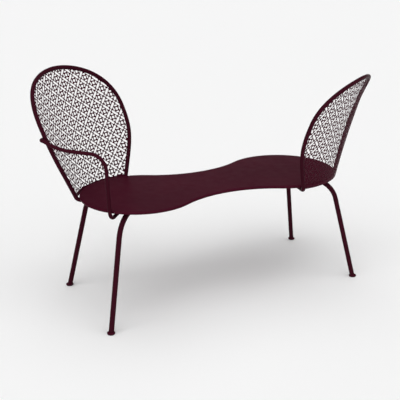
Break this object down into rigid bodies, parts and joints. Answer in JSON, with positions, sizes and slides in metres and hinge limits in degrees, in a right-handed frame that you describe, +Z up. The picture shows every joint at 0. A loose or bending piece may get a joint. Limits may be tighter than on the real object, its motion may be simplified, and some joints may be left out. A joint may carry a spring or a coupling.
{
  "type": "perforated metal conversation bench",
  "caption": "Conversation bench with a waisted sheet-metal seat, curved perforated backs facing opposite ways, a tube armrest and splayed tube legs.",
  "frame": {"origin": "on the floor, under the middle of the seat", "axes": "+X along the bench, +Z up, -Y the side the left seat faces"},
  "size_m": [1.3641, 0.7118, 0.8967],
  "materials": {
    "powder_coated_steel": "dark burgundy powder coat, satin, slightly darker in places",
    "black_nylon": "black moulded nylon, matte"
  },
  "bodies": {
    "root": {"seat_pan": "powder_coated_steel", "rim_wire": "powder_coated_steel", "left_support_dish": "powder_coated_steel", "right_support_dish": "powder_coated_steel", "waist_channel": "powder_coated_steel", "left_back_frame": "powder_coated_steel", "right_back_frame": "powder_coated_steel", "left_back_panel": "powder_coated_steel", "right_back_panel": "powder_coated_steel", "armrest": "powder_coated_steel", "front_left_leg": "powder_coated_steel", "front_left_pad": "powder_coated_steel", "front_left_leg_plug": "black_nylon", "front_left_glide": "black_nylon", "front_right_leg": "powder_coated_steel", "front_right_pad": "powder_coated_steel", "front_right_leg_plug": "black_nylon", "front_right_glide": "black_nylon", "rear_left_leg": "powder_coated_steel", "rear_left_pad": "powder_coated_steel", "rear_left_leg_plug": "black_nylon", "rear_left_glide": "black_nylon", "rear_right_leg": "powder_coated_steel", "rear_right_pad": "powder_coated_steel", "rear_right_leg_plug": "black_nylon", "rear_right_glide": "black_nylon"}
  },
  "joints": []
}
